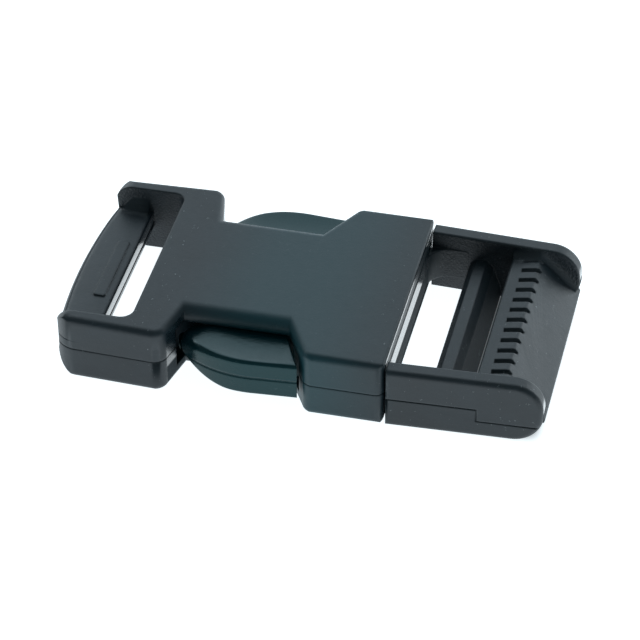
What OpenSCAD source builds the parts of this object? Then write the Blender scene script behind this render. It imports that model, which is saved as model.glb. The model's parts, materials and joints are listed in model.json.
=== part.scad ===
// Side release buckle for 25 mm webbing, fastened: a hollow socket on the left, the plug pushed into it
// from the right. X runs along the strap, Y across it, Z up; the underside lies on Z = 0. Millimetres.

/* [Socket] */
// Width of the socket over its outer walls
body_w = 34; // [33.6:0.1:34.6]
// Thickness of the socket
socket_t = 9.8; // [9.7:0.1:10.2]
// Half width of the waist between the two side windows
waist_half = 10.7; // [10.4:0.1:11]
// Rounding of the long outer edges
edge_r = 1; // [0.8:0.1:1.2]
// Rounding of the waist's two long edges
waist_edge = 1.8; // [1.4:0.1:1.8]
// Height of the cavity floor above the underside
cavity_floor = 1.8; // [1.6:0.1:1.8]
// Height of the cavity roof above the underside
cavity_roof = 7.7; // [7.7:0.1:7.9]
// Length of the webbing slot in the socket, across the strap
socket_slot_w = 28.8; // [28.4:0.1:29]
// Free width of the webbing slot in the socket, along the strap
socket_slot_gap = 4.9; // [4.6:0.1:5.1]
// Thickness of the web bar
web_bar_t = 3; // [2.8:0.1:3.2]

/* [Plug] */
// Thickness of the plug's frame
plug_t = 9; // [8.8:0.1:9.2]
// Width of each frame rail
rail_w = 2.4; // [2.3:0.1:2.5]
// Rounding of a rail's outer edges
rail_edge = 0.75; // [0.6:0.05:1]
// How far each rail leans in towards the free end
rail_lean = 0.85; // [0.7:0.05:0.9]
// Thickness of the two release pads, up and down
pad_t = 5.3; // [5.1:0.1:5.3]
// Depth of the finger dish in each pad
dish_depth = 0.8; // [0.6:0.05:0.9]
// Height of the flap's crest above the underside
crest_z = 7.9; // [7.7:0.1:8.1]
// Number of grip notches on the flap
tooth_count = 12; // [10:1:12]
// Depth of a grip notch
tooth_depth = 0.65; // [0.5:0.05:0.8]

/* [Shown sub-part] */
// Which sub-part to build, or all

/* [Hidden] */
$fn = 48;

half_w = body_w / 2;
parting_z = socket_t / 2;
plug_parting_z = plug_t / 2;
eps = 0.02;

// Stations along the strap
bar_apex_x = -33.6;
socket_left_x = -32.45;
slot_right_x = -22.1;
slot_left_x = slot_right_x - socket_slot_gap;
block_right_x = -17.3;
waist_left_x = -15.9;
waist_right_x = -1.4;
mouth_block_x = 2.1;
mouth_x = 12.6;
rail_start_x = 12.85;
plug_end_x = 33.6;
end_wall_x = 12.62;
bar_bow_r = 93;
rail_end_r = 4.1;
pad_bend_x = -6;
pad_half = 17.25;

// How far the sides of the slot block lean in towards its free end, and their plan corner
block_lean = 0.6;
block_corner = 3.2;
slot_heel_r = 1.9;
mouth_heel_r = 1.7;
end_top_r = 2.6;
end_low_r = 4.4;

// Flat shapes

// Rectangle from (x0, y0) to (x1, y1) with all four corners rounded.
module round_rect(x0, x1, y0, y1, r) {
  union() {
    translate([x0 + r, y0])
      square([x1 - x0 - 2 * r, y1 - y0]);
    translate([x0, y0 + r])
      square([x1 - x0, y1 - y0 - 2 * r]);
    for (x = [x0 + r, x1 - r], y = [y0 + r, y1 - r])
      translate([x, y])
        circle(r);
  }
}

// Small square with a quarter circle taken out: what a rounded corner loses.
module corner_chip(r) {
  difference() {
    translate([-eps, -eps])
      square([r + eps, r + eps]);
    translate([r, r])
      circle(r);
  }
}

// Unit vector from a towards b.
function toward(a, b) = (b - a) / norm(b - a);

// Half of the angle at corner i of a closed outline.
function half_angle(p, i) =
  let (n = len(p), u = toward(p[i], p[(i + n - 1) % n]), v = toward(p[i], p[(i + 1) % n]))
  acos(u * v) / 2;

// The two points where a rounding of radius r at corner i leaves the straight sides.
function rounding_ends(p, i, r) =
  let (n = len(p), run = r / tan(half_angle(p, i)))
  [p[i] + run * toward(p[i], p[(i + n - 1) % n]), p[i] + run * toward(p[i], p[(i + 1) % n])];

// Centre of the rounding of radius r at corner i.
function rounding_centre(p, i, r) =
  let (e = rounding_ends(p, i, r), mid = (e[0] + e[1]) / 2)
  p[i] + toward(p[i], mid) * r / sin(half_angle(p, i));

// Closed outline with convex corners, corner i rounded to radii[i]; 0 leaves it sharp.
module soft_polygon(p, radii) {
  corners = [for (i = [0 : len(p) - 1]) radii[i] > 0 ? rounding_ends(p, i, radii[i]) : [p[i]]];
  union() {
    polygon([for (c = corners) each c]);
    for (i = [0 : len(p) - 1])
      if (radii[i] > 0)
        translate(rounding_centre(p, i, radii[i]))
          circle(radii[i]);
  }
}

// Stands a flat shape up and carries it along X; its x becomes Y and its y becomes Z.
module along_x(x0, x1) {
  translate([x0, 0, 0])
    rotate([90, 0, 90])
      linear_extrude(x1 - x0)
        children();
}

// Stands a flat shape up and carries it along Y; its y becomes Z.
module along_y(y0, y1) {
  translate([0, y1, 0])
    rotate([90, 0, 0])
      linear_extrude(y1 - y0)
        children();
}

// Both long sides: the shape and its mirror image across the strap.
module both_sides() {
  children();
  mirror([0, 1, 0])
    children();
}

// Top and bottom: the shape and its mirror image about the mid plane of a part of thickness t.
module both_faces(t) {
  children();
  translate([0, 0, t])
    mirror([0, 0, 1])
      children();
}

// What the rounding of a sloping top edge takes away, from p to q; the body lies to the left of p-q.
module edge_round(p, q, t, r) {
  d = q - p;
  translate([p[0], p[1], t])
    rotate([0, 0, atan2(d[1], d[0])])
      mirror([0, 0, 1])
        translate([-2, 0, 0])
          rotate([90, 0, 90])
            linear_extrude(norm(d) + 4)
              corner_chip(r);
}

// What the rounding of the bottom edge takes away round the heel of a block, which is corner 3 of its
// outline p and has the plan radius r.
module heel_edge_round(p, r) {
  c = rounding_centre(p, 3, r);
  ends = rounding_ends(p, 3, r);
  e = edge_r - 0.1;
  intersection() {
    translate([c[0], c[1], 0])
      rotate_extrude($fn = 96)
        translate([r, 0])
          mirror([1, 0])
            corner_chip(e);
    linear_extrude(3 * e, center = true)
      polygon([c, c + 2 * (ends[0] - c), c + 3 * (p[3] - c), c + 2 * (ends[1] - c)]);
  }
}

// Socket

// Cross-section of the socket over its outer walls.
module socket_section() {
  round_rect(-half_w, half_w, 0, socket_t, edge_r);
}

// One rounded side of the slot block, leaning in towards the free end.
module leaning_side() {
  length = block_right_x - socket_left_x;
  translate([block_right_x, half_w, 0])
    rotate([0, 0, atan2(block_lean, length)])
      along_x(-length - 1, 4)
        difference() {
          translate([-20, 0])
            square([20, socket_t]);
          rotate(90)
            corner_chip(edge_r);
          translate([0, socket_t])
            rotate(180)
              corner_chip(edge_r);
        }
}

// Side view of the end with the webbing slot: the free end is well rounded.
module socket_end_profile() {
  difference() {
    translate([socket_left_x, 0])
      square([20, socket_t]);
    translate([socket_left_x, socket_t])
      mirror([0, 1])
        corner_chip(end_top_r);
    translate([socket_left_x, 0])
      corner_chip(end_low_r);
  }
}

// Corners of the wide end with the webbing slot, seen from above, every side moved in by d.
function slot_block_corners(d) =
  let (m = (waist_left_x - block_right_x) / (half_w - waist_half),
       side = half_w - d,
       back = d * sqrt(1 + m * m),
       heel_x = block_right_x + m * d - back,
       tip_x = block_right_x + m * half_w - back,
       end_x = socket_left_x + d,
       end_y = side - block_lean)
  [[end_x, -end_y], [heel_x, -side], [tip_x, 0], [heel_x, side], [end_x, end_y]];

module slot_block_plan(d = 0) {
  heel = slot_heel_r - d;
  soft_polygon(slot_block_corners(d), [block_corner - d, heel, 0, heel, block_corner - d]);
}

// The wide end that carries the webbing slot, before the slot is cut.
module slot_block() {
  tip_x = waist_left_x + waist_half * (waist_left_x - block_right_x) / (half_w - waist_half);
  difference() {
    intersection() {
      both_sides()
        leaning_side();
      along_y(-half_w, half_w)
        socket_end_profile();
      linear_extrude(socket_t)
        slot_block_plan(-eps / 2);
    }
    both_faces(socket_t)
      both_sides()
        edge_round([block_right_x, -half_w], [tip_x, 0], socket_t, edge_r - 0.1);
    both_faces(socket_t)
      both_sides()
        heel_edge_round(slot_block_corners(-eps / 2), slot_heel_r + eps / 2);
  }
}

// Corners of the wide end with the mouth, seen from above, every side moved in by d.
function mouth_block_corners(d) =
  let (m = (mouth_block_x - waist_right_x) / (half_w - waist_half),
       side = half_w - d,
       ahead = d * sqrt(1 + m * m),
       heel_x = mouth_block_x - m * d + ahead,
       tip_x = mouth_block_x - m * half_w + ahead)
  [[mouth_x - d, -side], [heel_x, -side], [tip_x, 0], [heel_x, side], [mouth_x - d, side]];

module mouth_block_plan(d = 0) {
  heel = mouth_heel_r - d;
  soft_polygon(mouth_block_corners(d), [1.3 - d, heel, 0, heel, 1.3 - d]);
}

// Side view of the mouth's rim: the lower lip is well rounded.
module mouth_profile() {
  difference() {
    translate([mouth_x - 20, 0])
      square([20, socket_t]);
    translate([mouth_x, socket_t])
      rotate(180)
        corner_chip(0.4);
    translate([mouth_x, 0])
      rotate(90)
        corner_chip(1.1);
  }
}

// The wide end with the mouth, before it is hollowed.
module mouth_block() {
  tip_x = waist_right_x - waist_half * (mouth_block_x - waist_right_x) / (half_w - waist_half);
  difference() {
    intersection() {
      along_x(tip_x, mouth_x)
        socket_section();
      along_y(-half_w, half_w)
        mouth_profile();
      linear_extrude(socket_t)
        mouth_block_plan(-eps / 2);
    }
    both_faces(socket_t)
      both_sides()
        edge_round([tip_x, 0], [mouth_block_x, -half_w], socket_t, edge_r - 0.1);
    both_faces(socket_t)
      both_sides()
        heel_edge_round(mouth_block_corners(-eps / 2), mouth_heel_r + eps / 2);
  }
}

// The narrow middle between the two blocks.
module waist() {
  along_x(block_right_x - 2, mouth_block_x + 2)
    round_rect(-waist_half, waist_half, 0, socket_t, waist_edge);
}

// Plan of the webbing slot: open to the left between the rails, rounded at the body.
module slot_clearance() {
  round_rect(-45, slot_right_x, -socket_slot_w / 2, socket_slot_w / 2, 1.8);
}

// The web bar: a flat bar with a bowed outer side, let into both rails.
module web_bar() {
  z0 = parting_z - web_bar_t / 2;
  half = socket_slot_w / 2 + 0.3;
  difference() {
    intersection() {
      translate([bar_apex_x + bar_bow_r, 0, 0])
        rotate_extrude($fn = 240)
          round_rect(bar_bow_r - 20, bar_bow_r, z0, z0 + web_bar_t, 1.3);
      along_y(-half, half)
        difference() {
          translate([-40, z0])
            square([slot_left_x + eps + 40, web_bar_t]);
          translate([slot_left_x + eps, z0 + web_bar_t])
            rotate(180)
              corner_chip(0.5);
          translate([slot_left_x + eps, z0])
            rotate(90)
              corner_chip(0.4);
          translate([slot_left_x - 0.15, z0 + 0.95])
            square([0.3, 0.3]);
        }
    }
    linear_extrude(socket_t)
      round_rect(slot_left_x, slot_right_x + 5, -socket_slot_w / 2, socket_slot_w / 2, 1.8);
  }
}

// Hollow rounding between the top of the web bar and a rail.
module bar_root() {
  z0 = parting_z + web_bar_t / 2;
  intersection() {
    along_x(-33, slot_left_x - 0.5)
      translate([socket_slot_w / 2 + eps, z0 - eps])
        mirror([1, 0])
          corner_chip(2.2);
    translate([bar_apex_x + bar_bow_r, 0, 0])
      rotate_extrude($fn = 240)
        round_rect(bar_bow_r - 20, bar_bow_r - 1.2, z0 - 6, z0 + 2.2, 3);
  }
}

// The blank raised plaque on the web bar.
module bar_plaque() {
  translate([0, 0, parting_z + web_bar_t / 2 - 0.1])
    linear_extrude(0.3)
      round_rect(-29.75, -28.1, -6.4, 6.1, 0.25);
}

// The space that takes the plug: open at the mouth and, in the waist, at both sides.
module cavity() {
  side = waist_half + 4;
  nose_y = 12.9;
  end_x = block_right_x - 0.2;
  translate([0, 0, cavity_floor])
    linear_extrude(cavity_roof - cavity_floor)
      polygon([[-15.6, 7], [-15.6, -7], [end_x, -9.5], [end_x, -nose_y], [-15, -nose_y], [-15, -side],
               [mouth_x + 1, -side], [mouth_x + 1, side], [-15, side], [-15, nose_y],
               [end_x, nose_y], [end_x, 9.5]]);
}

// Fine groove round the outer walls where the two halves of the mould meet.
module socket_seam() {
  w = 0.16;
  d = 0.1;
  translate([0, 0, parting_z - w / 2])
    linear_extrude(w) {
      difference() {
        slot_block_plan(-0.3);
        slot_block_plan(d);
      }
      difference() {
        mouth_block_plan(-0.3);
        mouth_block_plan(d);
      }
    }
}

module socket() {
  color([0.10, 0.11, 0.12])
    union() {
      difference() {
        union() {
          slot_block();
          waist();
          mouth_block();
        }
        cavity();
        translate([0, 0, -1])
          linear_extrude(socket_t + 2)
            slot_clearance();
        socket_seam();
      }
      web_bar();
      both_sides()
        bar_root();
      bar_plaque();
    }
}

// Plug

// Section of a rail: height h and width rail_w, outer edges rounded, its outer face on x = rail_w.
module rail_section(h) {
  difference() {
    square([rail_w, h]);
    translate([rail_w, 0])
      rotate(90)
        corner_chip(rail_edge);
    translate([rail_w, h])
      rotate(180)
        corner_chip(rail_edge);
    translate([0, h])
      rotate(-90)
        corner_chip(0.3);
  }
}

// Quarter of a round rail end: the outer edge's rounding runs on round its rim.
module rail_turn() {
  rotate([90, 0, 0])
    intersection() {
      rotate_extrude($fn = 96)
        difference() {
          square([rail_end_r, rail_w]);
          translate([rail_end_r, 0])
            rotate(90)
              corner_chip(rail_edge);
          translate([rail_end_r, rail_w])
            rotate(180)
              corner_chip(0.3);
        }
      translate([0, 0, -1])
        cube([rail_end_r + 1, rail_end_r + 1, rail_w + 2]);
    }
}

// One frame rail: leans in towards the free end, where its edge runs round in one curve.
module frame_rail() {
  length = plug_end_x - rail_start_x;
  turn_x = length - rail_end_r;
  translate([rail_start_x, half_w - 0.05, 0])
    rotate([0, 0, -atan2(rail_lean, length)])
      translate([0, -rail_w, 0]) {
        difference() {
          along_x(0, turn_x)
            rail_section(plug_t);
          translate([0, rail_w, -1])
            linear_extrude(plug_t + 2)
              rotate(-90)
                corner_chip(0.35);
        }
        translate([turn_x, 0, rail_end_r])
          linear_extrude(plug_t - 2 * rail_end_r)
            difference() {
              square([rail_end_r, rail_w]);
              translate([rail_end_r, rail_w])
                rotate(180)
                  corner_chip(rail_edge);
              translate([rail_end_r, 0])
                rotate(90)
                  corner_chip(0.3);
            }
        translate([turn_x, rail_w, plug_t - rail_end_r])
          rail_turn();
        translate([turn_x, rail_w, rail_end_r])
          mirror([0, 0, 1])
            rail_turn();
        intersection() {
          flap_root();
          along_y(-3, 0.2) {
            square([turn_x, plug_t - 0.1]);
            square([turn_x + rail_end_r - 0.1, plug_t - rail_end_r]);
            translate([turn_x, plug_t - rail_end_r])
              circle(rail_end_r - 0.1);
          }
        }
      }
}

// Hollow rounding where the flap's two faces run into a rail, mitred at the crest.
module flap_root() {
  rise = atan2(crest_z - 7.25, 3.45);
  fall = atan2(crest_z - 3.05, 5.25);
  translate([28.05 - rail_start_x, eps, crest_z - 0.02])
    for (half = [[-rise, -3.7, -20], [fall, -1.5, 0]])
      intersection() {
        rotate([0, half[0], 0])
          along_x(half[1], half[1] + 8.4)
            mirror([1, 0])
              corner_chip(1.6);
        rotate([0, (fall - rise) / 2, 0])
          translate([half[2], -5, -10])
            cube([20, 10, 20]);
      }
}

// End wall of the plug with two webs that run out along the rails in wide soft corners; its middle
// closes the mouth up to the cavity's roof.
module end_wall() {
  z0 = 2;
  z1 = 6.6;
  translate([0, 0, z0])
    linear_extrude(z1 - z0)
      difference() {
        union() {
          translate([8.8, -14.3])
            square([end_wall_x + 0.4 - 8.8, 28.6]);
          translate([rail_start_x, -15.4])
            square([5, 30.8]);
        }
        round_rect(end_wall_x, 40, -14.3, 14.3, 3);
      }
  along_y(-14.2, 14.2)
    round_rect(9, end_wall_x, 4, cavity_roof - 0.2, 0.4);
}

// Centre bar that the webbing turns round, wider below than above.
module centre_bar() {
  along_y(-14.6, 14.6)
    polygon([[18.1, 4.5], [18.25, 4.85], [19.0, 5.65], [20.5, 5.7], [21.5, 4.45],
             [22.75, 0.9], [22.5, 0.6], [19.2, 0.6], [18.75, 0.9]]);
}

// Flap: a bent plate, its top strip rising to the crest and its face falling to the free edge.
module flap_plate() {
  along_y(-14.4, 14.4)
    polygon([[24.1, 7.0], [24.35, 7.25], [27.8, crest_z], [28.2, crest_z - 0.05],
             [33.45, 3.0], [33.6, 2.7], [33.5, 2.35], [33.0, 2.2], [32.2, 2.5],
             [27.7, crest_z - 2.5], [25.0, 4.9], [24.3, 5.1]]);
}

// Row of grip notches across the crest.
module grip_notches() {
  pitch = 2.255;
  rise = atan2(crest_z - 7.25, 3.45);
  for (i = [0 : tooth_count - 1])
    translate([25.8, (i - (tooth_count - 1) / 2) * pitch + 0.25, 7.55])
      rotate([0, -rise, 0])
        along_x(0, 4)
          polygon([[0, -tooth_depth], [0.5, -tooth_depth], [0.85, 0.5], [-0.35, 0.5]]);
}

// Section of a pad's outer wall, w wide, its outer face on x = w, with the groove of the mould seam.
module pad_section(w) {
  difference() {
    square([w, pad_t]);
    translate([w, 0])
      rotate(90)
        corner_chip(0.35);
    translate([w, pad_t])
      rotate(180)
        corner_chip(0.7);
    translate([w - 0.12, pad_t / 2 - 0.1])
      square([0.3, 0.2]);
  }
}

// Round edged slab: disc of radius r and thickness pad_t.
module pad_disc(r) {
  rotate_extrude($fn = 120)
    pad_section(r);
}

// Finger dish: a long shallow hollow of spindle form.
module finger_dish() {
  long_r = 40;
  cross_r = 5.6;
  translate([-6.2, 13.6, pad_t + cross_r - dish_depth])
    rotate([0, 90, 0])
      rotate_extrude($fn = 96)
        intersection() {
          translate([cross_r - long_r, 0])
            circle(long_r, $fn = 240);
          translate([0, -12])
            square([cross_r + 1, 24]);
        }
}

// Release pad: curved outside, blunt nose, a shoulder that catches behind the mouth block.
module release_pad() {
  big_r = 14.6;
  turn = 4;
  c = [pad_bend_x, pad_half - big_r];
  ahead = [cos(turn), -sin(turn)];
  out = [sin(turn), cos(turn)];
  nose_r = 2.2;
  nose_x = -13.95;
  keel_r = 14;
  keel_x = -7.4;
  nose_c = [nose_x, c[1] + sqrt(pow(big_r - nose_r, 2) - pow(pad_bend_x - nose_x, 2))];
  touch = nose_c + (nose_c - c) * nose_r / (big_r - nose_r);
  difference() {
    union() {
      translate([c[0], c[1], 0])
        rotate([0, 0, -turn])
          along_x(0, 8)
            translate([6.7, 0])
              pad_section(big_r - 6.7);
      intersection() {
        translate([c[0], c[1], 0])
          pad_disc(big_r);
        translate([0, 0, -1])
          linear_extrude(pad_t + 2)
            polygon([touch, nose_c, [nose_x, 9.4], c + 0.1 * ahead + 6.8 * out,
                     c + 0.1 * ahead + 18 * out, touch + (touch - nose_c)]);
      }
      translate([nose_c[0], nose_c[1], 0])
        pad_disc(nose_r);
      translate([nose_c[0], nose_c[1] - nose_r, 0])
        cube([pad_bend_x - nose_c[0], nose_r, pad_t]);
    }
    both_faces(pad_t)
      along_y(5, 20)
        translate([nose_x - nose_r, 0])
          corner_chip(1.9);
    along_y(5, 20)
      translate([keel_x - keel_r, 0])
        corner_chip(keel_r);
    linear_extrude(20, center = true)
      polygon([[-0.5, 13.2], [0.75, 16], [1.15, 18], [5, 18], [5, 5], [-0.5, 5]]);
  }
}

// Spring arm from the end wall to a pad.
module spring_arm() {
  translate([0, 0, 0.35])
    linear_extrude(pad_t - 0.7)
      polygon([[-2, 9.4], [9.2, 9.0], [9.2, 11.6], [-2, 12.8]]);
}

// Fine groove of the mould seam on a rail; it drops to a lower line near the free end.
module plug_seam() {
  w = 0.2;
  d = 0.14;
  length = plug_end_x - rail_start_x;
  step_x = 11.9;
  low_z = 2.6;
  translate([rail_start_x, half_w - 0.05, 0])
    rotate([0, 0, -atan2(rail_lean, length)]) {
      translate([-1, -d, plug_parting_z - w / 2])
        cube([step_x + 1, 1, w]);
      translate([step_x, -d, low_z - w / 2])
        cube([w, 1, plug_parting_z - low_z + w]);
      translate([step_x, -d, low_z - w / 2])
        cube([length, 1, w]);
    }
}

module plug() {
  color([0.13, 0.14, 0.15])
    difference() {
      union() {
        both_sides()
          frame_rail();
        end_wall();
        centre_bar();
        difference() {
          flap_plate();
          grip_notches();
        }
        both_sides()
          translate([0, 0, parting_z - pad_t / 2])
            difference() {
              union() {
                release_pad();
                spring_arm();
              }
              finger_dish();
            }
        translate([-9, -3, 3.2])
          cube([18.5, 6, 3]);
      }
      both_sides()
        plug_seam();
    }
}

socket();
plug();
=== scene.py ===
import json
import math

import bmesh
import bpy
import numpy as np
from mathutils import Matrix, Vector

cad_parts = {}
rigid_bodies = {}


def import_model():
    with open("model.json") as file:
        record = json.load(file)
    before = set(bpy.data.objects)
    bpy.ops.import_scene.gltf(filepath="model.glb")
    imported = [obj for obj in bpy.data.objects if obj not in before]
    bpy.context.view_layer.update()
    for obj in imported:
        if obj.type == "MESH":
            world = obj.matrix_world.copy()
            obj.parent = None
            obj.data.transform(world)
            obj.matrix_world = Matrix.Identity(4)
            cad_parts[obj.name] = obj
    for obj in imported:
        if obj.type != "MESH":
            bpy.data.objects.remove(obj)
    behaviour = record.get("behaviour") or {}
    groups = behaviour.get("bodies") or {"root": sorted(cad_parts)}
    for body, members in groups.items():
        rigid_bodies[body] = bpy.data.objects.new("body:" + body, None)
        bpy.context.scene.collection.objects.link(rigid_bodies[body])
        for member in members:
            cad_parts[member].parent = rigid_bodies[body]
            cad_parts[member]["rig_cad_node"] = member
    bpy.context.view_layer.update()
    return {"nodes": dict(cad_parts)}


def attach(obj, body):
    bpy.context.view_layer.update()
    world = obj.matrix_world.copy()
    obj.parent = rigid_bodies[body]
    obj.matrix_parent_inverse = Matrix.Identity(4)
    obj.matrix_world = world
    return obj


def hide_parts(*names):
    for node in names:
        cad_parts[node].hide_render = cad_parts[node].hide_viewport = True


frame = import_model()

MM = 0.001


# Socket: the hollow female half of the buckle, one black acetal moulding. Its flat web bar is moulded
# between the two rails of the slot block; the waist is open at both sides, where the plug's pads come out.

class Wire:
    """One output of a material's node; the arithmetic operators add Math nodes behind it."""

    def __init__(self, finish, socket):
        self.finish, self.socket = finish, socket

    def _math(self, operation, *values):
        return self.finish.node("ShaderNodeMath", {"operation": operation}, *values)

    def __add__(self, other): return self._math("ADD", self, other)
    def __radd__(self, other): return self._math("ADD", other, self)
    def __sub__(self, other): return self._math("SUBTRACT", self, other)
    def __rsub__(self, other): return self._math("SUBTRACT", other, self)
    def __mul__(self, other): return self._math("MULTIPLY", self, other)
    def __rmul__(self, other): return self._math("MULTIPLY", other, self)
    def __abs__(self): return self._math("ABSOLUTE", self)

    def lower(self, other): return self._math("MINIMUM", self, other)
    def higher(self, other): return self._math("MAXIMUM", self, other)

    def rise(self, start, end):
        """0 below start, 1 above end, a smooth S between them; start above end gives a fall."""
        low, high, a, b = (start, end, 0.0, 1.0) if start < end else (end, start, 1.0, 0.0)
        return self.finish.node("ShaderNodeMapRange", {"interpolation_type": "SMOOTHSTEP"},
                                self, low, high, a, b)


class Finish:
    """A material under construction: its Principled shader and the piece's own coordinates in mm."""

    def __init__(self, name):
        self.material = bpy.data.materials.new(name)
        self.material.use_nodes = True
        self.tree = self.material.node_tree
        self.shader = self.tree.nodes["Principled BSDF"]
        place = self.node("ShaderNodeTexCoord", {}, output="Object")
        self.place = self.node("ShaderNodeVectorMath", {"operation": "SCALE"}, place, Scale=1 / MM)
        self.x, self.y, self.z = (self.along(self.place, axis) for axis in "XYZ")

    def node(self, kind, settings, *values, output=0, **named):
        """Adds a node: its settings first, then its inputs by order or by name; returns one output."""
        made = self.tree.nodes.new(kind)
        for name, value in settings.items():
            setattr(made, name, value)
        for where, value in [*enumerate(values), *named.items()]:
            if isinstance(value, Wire):
                self.tree.links.new(value.socket, made.inputs[where])
            elif value is not None:
                made.inputs[where].default_value = value
        return Wire(self, made.outputs[output])

    def along(self, vector, axis):
        """A vector's part along X, Y or Z."""
        return self.node("ShaderNodeSeparateXYZ", {}, vector, output=axis)

    def noise(self, scale, detail, roughness, stretch=None):
        """Noise of that many waves per millimetre, 0 to 1; a stretch under 1 draws it out along an axis."""
        place = self.place
        if stretch:
            place = self.node("ShaderNodeMapping", {}, place, Scale=stretch)
        return self.node("ShaderNodeTexNoise", {}, Vector=place, Scale=scale, Detail=detail,
                         Roughness=roughness, output="Fac")

    def blend(self, factor, a, b):
        """Colour a where factor is 0, b where it is 1; the Mix node has five other inputs in between."""
        colours = [c if isinstance(c, Wire) else (*c, 1.0) for c in (a, b)]
        skipped = [None] * 5
        return self.node("ShaderNodeMix", {"data_type": "RGBA"}, factor, *skipped, *colours, output=2)

    def feed(self, name, value):
        """Links a wire to one input of the Principled shader, or sets a constant on it."""
        if isinstance(value, Wire):
            self.tree.links.new(value.socket, self.shader.inputs[name])
        else:
            self.shader.inputs[name].default_value = value


weld_distance = 0.004 * MM
flat_angle = math.radians(0.6)
crease_angle = math.radians(30)


def moulded_copy(node, name):
    """The node's own surface as one welded mesh: its loose triangles are joined at shared points, flat runs
    are merged, and edges sharper than crease_angle stay sharp."""
    piece = frame["nodes"][node].copy()
    piece.data = frame["nodes"][node].data.copy()
    piece.data.materials.clear()
    piece.name = piece.data.name = name
    del piece["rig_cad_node"]
    bpy.context.scene.collection.objects.link(piece)
    shell = bmesh.new()
    shell.from_mesh(piece.data)
    bmesh.ops.remove_doubles(shell, verts=shell.verts, dist=weld_distance)
    bmesh.ops.dissolve_limit(shell, angle_limit=flat_angle, verts=shell.verts, edges=shell.edges)
    for face in shell.faces:
        face.smooth = True
    for edge in shell.edges:
        edge.smooth = len(edge.link_faces) == 2 and edge.calc_face_angle() < crease_angle
    shell.to_mesh(piece.data)
    shell.free()
    piece.data.set_sharp_from_angle(angle=crease_angle)
    even = piece.modifiers.new("even_shading", "WEIGHTED_NORMAL")
    even.keep_sharp, even.weight = True, 50
    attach(piece, "root")
    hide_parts(node)
    return piece


def tuck_bar_ends(mesh, rail_end=-32.1, bar_end_y=(14.3, 14.8), bar_z=(3.3, 6.5)):
    """Where the web bar runs into the rails, its bowed outer side is drawn in to the rails' rounded ends."""
    at = np.empty(3 * len(mesh.vertices))
    mesh.vertices.foreach_get("co", at)
    at = at.reshape(-1, 3) / MM
    side, z = np.abs(at[:, 1]), at[:, 2]
    bar_end = (side > bar_end_y[0]) & (side < bar_end_y[1]) & (z > bar_z[0]) & (z < bar_z[1])
    at[bar_end, 0] = np.maximum(at[bar_end, 0], rail_end)
    mesh.vertices.foreach_set("co", (at * MM).ravel())
    mesh.update()


# Zones of the finish in mm, each from where it begins to where it is full: along X, and far_side along Y.
# The first two zones mark a painted teal sheen over the buckle's middle, where the cool light's sheen falls.
painted_sheen_left, painted_sheen_right = (-19.0, -5.0), (16.0, 0.0)
slot_dust_left, slot_dust_right, frame_dust = (-23.0, -21.5), (-16.5, -19.0), (9.0, 12.0)
far_side = (6.0, 9.0)
# The second colour here is a painted highlight laid on the rounded edges; the first is dust.
dust_colour, painted_edge_highlight = (0.20, 0.23, 0.24), (0.06, 0.07, 0.075)


def dust_and_painted_light_colour(finish, tone, edge, mottle):
    """The plastic's tone drifts slowly, and a painted teal sheen lies over the buckle's middle; specks of
    dust lie mostly by the slots, and the rounded edges are painted pale in patches, a painted highlight."""
    drift = finish.noise(0.12, 2.0, 0.5).rise(0.3, 0.7)
    colour = finish.blend(drift, [c * 0.86 for c in tone], [c * 1.14 for c in tone])
    # Painted sheen: the middle of the buckle is blended to teal, standing in for the cool light's sheen
    # there.
    middle = finish.x.rise(*painted_sheen_left) * finish.x.rise(*painted_sheen_right)
    teal = (tone[0] * 0.3, tone[1] * 2.3, tone[2] * 2.2)
    colour = finish.blend(middle * 0.9, colour, teal)
    speck = finish.noise(1.5, 3.0, 0.75, stretch=(1.0, 0.6, 1.0)).rise(0.665, 0.70)
    by_slot = finish.x.rise(*slot_dust_left) * finish.x.rise(*slot_dust_right)
    dusty = by_slot.higher(finish.x.rise(*frame_dust) * 0.6)
    colour = finish.blend(speck * (0.08 + dusty * 0.55 + edge * 0.4), colour, dust_colour)
    # Painted highlight: the rounded edges are blended pale in patches, standing in for their reflection of
    # the bright room.
    return finish.blend(edge * mottle.rise(0.45, 0.7) * 0.35, colour, painted_edge_highlight)


def bar_crown(finish, normal, crown, bar_side=-27.0, bar_top=6.2, crown_start=-28.2, blur=0.1):
    """The web bar's top falls off outwards from crown_start, by crown times the distance squared, in mm."""
    on_top = finish.x.rise(bar_side + blur, bar_side - blur) * finish.z.rise(bar_top - blur, bar_top + blur)
    distance = (finish.x - crown_start).lower(0.0)
    return finish.node("ShaderNodeBump", {}, Strength=1.0, Distance=1.0 * MM,
                       Height=on_top * distance * distance * -crown, Normal=normal)


def moulded_grain(finish, normal, true_normal, grain):
    """Fine spark-eroded grain under a wider pebble, with a coarse grain on the far rails' inner walls."""
    inner_wall = finish.along(true_normal, "Y").rise(-0.8, -0.95) * finish.y.rise(*far_side)
    pebble = finish.noise(1.7, 3.0, 0.7)
    coarse = finish.noise(3.4, 2.0, 0.7) * inner_wall
    fine = finish.node("ShaderNodeBump", {}, Strength=0.35, Distance=0.03 * MM, Height=grain, Normal=normal)
    return finish.node("ShaderNodeBump", {}, Strength=1.0, Distance=0.02 * MM,
                       Height=pebble + coarse * 9.0, Normal=fine)


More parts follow.
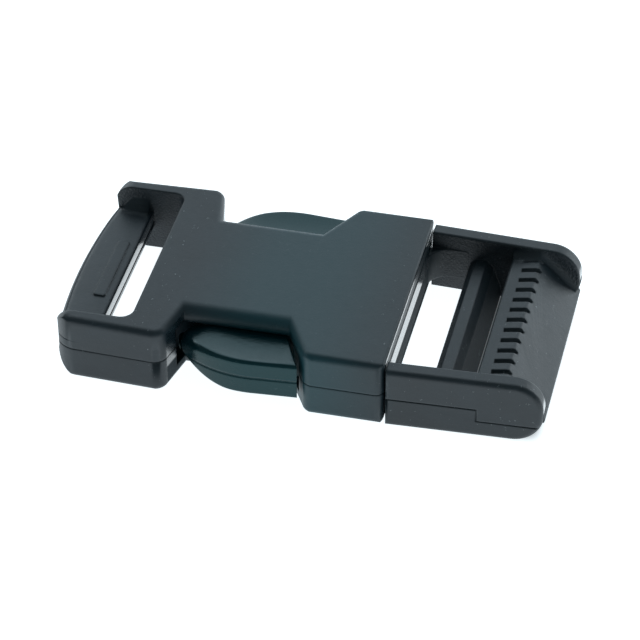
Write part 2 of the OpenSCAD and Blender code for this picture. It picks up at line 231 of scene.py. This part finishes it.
def plastic_finish(name, tone, rough, crown=0.0, gloss_from=3.4, edge_radius=0.32):
    """Matt moulded plastic: its colour has dust, a painted teal sheen and painted pale edges, and
    moulded_grain is in its normal; its edges are rounded to edge_radius in the shading. Walls that face +X
    are glossy from the height gloss_from upwards and duller below it."""
    finish = Finish(name)
    normal = finish.node("ShaderNodeBevel", {"samples": 8}, edge_radius * MM)
    true_normal = finish.node("ShaderNodeNewGeometry", {}, output="Normal")
    turned = finish.node("ShaderNodeVectorMath", {"operation": "DOT_PRODUCT"}, normal, true_normal,
                         output="Value")
    edge = (1.0 - turned).rise(0.01, 0.25)
    facing_right = finish.along(true_normal, "X").rise(0.93, 0.985)
    dull = finish.z.rise(gloss_from + 0.2, gloss_from - 0.2) * facing_right
    glossy = facing_right - dull
    grain = finish.noise(5.5, 3.0, 0.65)
    mottle = finish.noise(0.9, 4.0, 0.6)
    finish.feed("Base Color", dust_and_painted_light_colour(finish, tone, edge, mottle))
    uneven = (grain - 0.5) * 0.16 + (mottle - 0.5) * 0.10
    finish.feed("Roughness", rough + uneven - glossy * 0.2 + dull * 0.4)
    finish.feed("Coat Weight", glossy)
    finish.feed("Coat Roughness", 0.22)
    finish.feed("Coat IOR", 1.7)
    finish.feed("IOR", 1.48)
    if crown:
        normal = bar_crown(finish, normal, crown)
    finish.feed("Normal", moulded_grain(finish, normal, true_normal, grain))
    return finish


socket_tone = (0.012, 0.021, 0.028)
socket = moulded_copy("socket", "socket_moulding")
tuck_bar_ends(socket.data)
socket_finish = plastic_finish("socket_matt_plastic", socket_tone, 0.46, crown=0.02, edge_radius=0.45)
socket.data.materials.append(socket_finish.material)


# Plug: the male half, one moulding of the same plastic. Its frame holds the centre bar and the ribbed flap;
# two spring arms run into the socket and end in the smooth dished pads that show in the side windows.

plug_tone = (0.013, 0.021, 0.027)
plug = moulded_copy("plug", "plug_moulding")
plug_finish = plastic_finish("plug_matt_plastic", plug_tone, 0.44, gloss_from=4.7)
plug.data.materials.append(plug_finish.material)


# Release pads: the ends of the plug's spring arms, polished where the thumb and finger press. Each is a slab
# with a curved outer wall, a long shallow dish on top, a low blunt nose, and the mould's seam half way up.

# Sizes in mm: a name with _from is the place where a change begins along the pad, and _run is its length.
pad_top, pad_bottom, pad_seam = 7.55, 2.25, 4.9
run_length, run_turn = 6.03, math.radians(4)
wide_centre, wide_radius = np.array((-6.0, 2.65)), 14.6
tip_centre, tip_radius = np.array((-13.95, 12.166)), 2.2
tip_from, tip_to = math.radians(129.9), math.radians(270)
arm_side, arm_from, arm_run = 10.2, -1.84, -11.0
dish_centre, dish_half, dish_depth = (-5.0, 13.0), (8.4, 3.9), 0.36
nose_curve = 14.0
nose_top_from, nose_top_run = -10.6, 7.5
nose_under_from, nose_under_run = -7.4, 8.8
edge_soft, edge_soft_at_tip, edge_steepness = 0.55, 1.30, 1.15
foot_soft, foot_soft_at_tip = 0.35, 0.95
softer_from, softer_run = -9.0, 7.0
seam_depth, seam_half = 0.16, 0.13
pad_tone = (0.001, 0.009, 0.012)


def pad_outline(run_steps=36, wide_steps=80, tip_steps=56):
    """A straight run from the shoulder, then the wide arc that it touches, then the small arc round the tip.
    Returns the points and, for each, the point on the spring arm's side that its section runs to."""
    start = wide_centre + wide_radius * np.array((math.sin(run_turn), math.cos(run_turn)))
    along = np.linspace(run_length, 0, run_steps, endpoint=False)[:, None]
    run = start + along * np.array((math.cos(run_turn), -math.sin(run_turn)))
    wide = np.linspace(math.pi / 2 - run_turn, tip_from, wide_steps, endpoint=False)
    tip = np.linspace(tip_from, tip_to, tip_steps)
    arcs = [centre + radius * np.column_stack((np.cos(angle), np.sin(angle)))
            for centre, radius, angle in ((wide_centre, wide_radius, wide), (tip_centre, tip_radius, tip))]
    outer = np.vstack((run, *arcs))
    share = np.clip(np.arange(len(outer)) / (run_steps + wide_steps), 0, 1)
    inner = np.column_stack((arm_from + arm_run * share, np.full(len(outer), arm_side)))
    return outer, inner


def nose_curve_fall(distance):
    """How far a circle of radius nose_curve has left its tangent at that distance."""
    return nose_curve - np.sqrt(nose_curve ** 2 - distance ** 2)


def pad_height(x, y):
    """Top of the pad: flat, less a dish whose depth falls from its middle to nothing on an ellipse, eased
    at the rim, and less the nose's fall along a circle."""
    rim_ease = 0.05
    outwards = ((x - dish_centre[0]) / dish_half[0]) ** 2 + ((y - dish_centre[1]) / dish_half[1]) ** 2
    inside = np.clip(1 - outwards, 0, 1)
    dish = dish_depth * inside ** 2 / (inside + rim_ease)
    return pad_top - dish - nose_curve_fall(np.clip(nose_top_from - x, 0, nose_top_run))


def pad_shell(side, across_steps=30, edge_steps=16, wall_steps=64, back_steps=8):
    """The section is carried round the outline: inwards distance w and height z go over the top, round the
    upper edge (a quarter ellipse), down the wall with the seam's dent, round the lower edge and back."""
    outer, inner = pad_outline()
    outer_x = outer[:, :1]
    reach = np.linalg.norm(outer - inner, axis=1)[:, None]
    softer = np.clip((softer_from - outer_x) / softer_run, 0, 1)
    top_soft = edge_soft + (edge_soft_at_tip - edge_soft) * softer
    low_soft = foot_soft + (foot_soft_at_tip - foot_soft) * softer
    ground = pad_bottom + nose_curve_fall(np.clip(nose_under_from - outer_x, 0, nose_under_run))
    across = np.linspace(1, 0, across_steps, endpoint=False)
    quarter = np.linspace(0, math.pi / 2, edge_steps)
    down = np.linspace(0, 1, wall_steps)[1:-1]
    back = np.linspace(0, 1, back_steps)[1:]
    top_w = top_soft + (reach - top_soft) * across
    edge_w = top_soft * (1 - np.sin(quarter))
    wall_w = np.zeros((len(outer), len(down)))
    low_w = low_soft * (1 - np.cos(quarter))
    back_w = low_soft + (reach - low_soft) * back
    inset = np.hstack((top_w, edge_w, wall_w, low_w, back_w))
    spot = outer[:, None, :] + (inner - outer)[:, None, :] * (inset / reach)[..., None]
    height = pad_height(spot[..., 0], spot[..., 1])
    edge_at, wall_at, low_at, back_at = np.cumsum((across.size, quarter.size, down.size, quarter.size))
    height[:, edge_at:wall_at] -= top_soft * edge_steepness * (1 - np.cos(quarter))
    rim, foot = height[:, wall_at - 1:wall_at], ground + low_soft
    height[:, wall_at:low_at] = rim + (foot - rim) * down
    height[:, low_at:back_at] = ground + low_soft * (1 - np.sin(quarter))
    height[:, back_at:] = ground
    dent = seam_depth * np.exp(-((height - pad_seam) / seam_half) ** 2)
    dent[:, :edge_at] = dent[:, low_at:] = 0
    spot += ((inner - outer) / reach)[:, None, :] * dent[..., None]
    points = np.dstack((spot[..., 0], side * spot[..., 1], height)).reshape(-1, 3) * MM
    rows, columns = height.shape
    grid = np.arange(rows * columns).reshape(rows, columns)
    after = np.roll(grid, -1, axis=1)
    quads = np.stack((grid[:-1], after[:-1], after[1:], grid[1:]), axis=-1).reshape(-1, 4)
    faces = [*quads.tolist(), grid[0, ::-1].tolist(), grid[-1].tolist()]
    if side > 0:
        faces = [face[::-1] for face in faces]
    mesh = bpy.data.meshes.new("pad_shell")
    mesh.from_pydata(points.tolist(), [], faces)
    mesh.polygons.foreach_set("material_index", np.ones(len(faces), dtype=np.int32))
    mesh.polygons.foreach_set("use_smooth", np.ones(len(faces), dtype=bool))
    return mesh


def on_plain_pad(face, shoulder_x=1.4, inner_side=9.3):
    """True for the faces of the plug's own plain pads, left of the shoulder and outside the spring arms."""
    middle = face.calc_center_median()
    return middle.x < shoulder_x * MM and abs(middle.y) > inner_side * MM


plug_shell = bmesh.new()
plug_shell.from_mesh(plug.data)
bmesh.ops.delete(plug_shell, geom=[face for face in plug_shell.faces if on_plain_pad(face)], context="FACES")
bmesh.ops.holes_fill(plug_shell, edges=[edge for edge in plug_shell.edges if edge.is_boundary])
for side in (-1, 1):
    plug_shell.from_mesh(pad_shell(side))
plug_shell.to_mesh(plug.data)
plug_shell.free()
plug.data.set_sharp_from_angle(angle=crease_angle)
pad_finish = plastic_finish("pad_smooth_plastic", pad_tone, 0.16)
pad_finish.feed("Specular Tint", (0.62, 0.95, 0.97, 1.0))
plug.data.materials.append(pad_finish.material)


# Floor: a plain white studio table that glows until it is nearly burnt out, as in the photo. The glow fades
# away under the plug's frame, where the table lies in the buckle's shade.

table_half, table_drop = 0.9, 0.02 * MM
shade_left, shade_right, shade_sides = (18.5, 21.5), (34.0, 31.0), (16.5, 13.5)
corners = np.array([(-1, -1), (1, -1), (1, 1), (-1, 1)]) * table_half
table_mesh = bpy.data.meshes.new("studio_table")
table_mesh.from_pydata([(x, y, -table_drop) for x, y in corners], [], [(0, 1, 2, 3)])
studio_table = bpy.data.objects.new("studio_table", table_mesh)
bpy.context.scene.collection.objects.link(studio_table)
table_finish = Finish("table_white")
shade = table_finish.x.rise(*shade_left) * table_finish.x.rise(*shade_right)
shade = shade * abs(table_finish.y).rise(*shade_sides)
table_finish.feed("Base Color", (0.88, 0.88, 0.88, 1.0))
table_finish.feed("Roughness", 0.9)
table_finish.feed("Emission Color", table_finish.blend(shade * 0.9, (0.95, 1.02, 1.06), (0.0, 0.0, 0.0)))
table_finish.feed("Emission Strength", 1.0)
table_mesh.materials.append(table_finish.material)


# Studio: a large soft box behind the buckle, a smaller one at each side, a long low strip at the back, and
# a dim cool room all round.

def soft_box(name, at, size, power, tint, aim=(0, 0, 0)):
    """A square area light of that size in metres at one point, aimed at another."""
    data = bpy.data.lights.new(name, "AREA")
    data.shape, data.size, data.energy, data.color = "SQUARE", size, power, tint
    lamp = bpy.data.objects.new(name, data)
    lamp.location = at
    lamp.rotation_euler = (Vector(aim) - Vector(at)).to_track_quat("-Z", "Y").to_euler()
    bpy.context.scene.collection.objects.link(lamp)
    return lamp


soft_box("box_behind", at=(-0.10, 0.75, 0.75), size=1.1, power=4.4, tint=(0.86, 1.0, 1.1))
soft_box("box_right", at=(0.55, 0.75, 0.28), size=0.5, power=1.6, tint=(0.9, 1.0, 1.06))
soft_box("box_left", at=(-0.75, 0.65, 0.45), size=0.4, power=1.2, tint=(0.9, 1.0, 1.06))
backdrop = soft_box("backdrop", at=(0.0, 1.1, 0.10), size=2.4, power=2.6, tint=(0.88, 1.0, 1.08),
                    aim=(0, 0, 0.08))
backdrop.data.shape, backdrop.data.size_y = "RECTANGLE", 0.18
room = bpy.data.worlds.new("studio_room")
room.use_nodes = True
room.node_tree.nodes["Background"].inputs["Color"].default_value = (0.75, 0.95, 1.0, 1.0)
room.node_tree.nodes["Background"].inputs["Strength"].default_value = 0.19
bpy.context.scene.world = room
bpy.context.scene.view_settings.view_transform = "Standard"


# Camera: a long lens 38 degrees above the table and a little to the right of square on, fitted to the
# buckle's straight edges in the photo.

camera_data = bpy.data.cameras.new("camera")
camera_data.lens, camera_data.sensor_width = 171.07, 36.0
camera_data.clip_start, camera_data.clip_end = 0.01, 10.0
camera = bpy.data.objects.new("camera", camera_data)
camera.location = (0.07406, -0.31743, 0.25539)
camera.rotation_mode = "QUATERNION"
camera.rotation_quaternion = Vector((-0.17898, 0.76956, -0.61298)).to_track_quat("-Z", "Y")
bpy.context.scene.collection.objects.link(camera)
bpy.context.scene.camera = camera
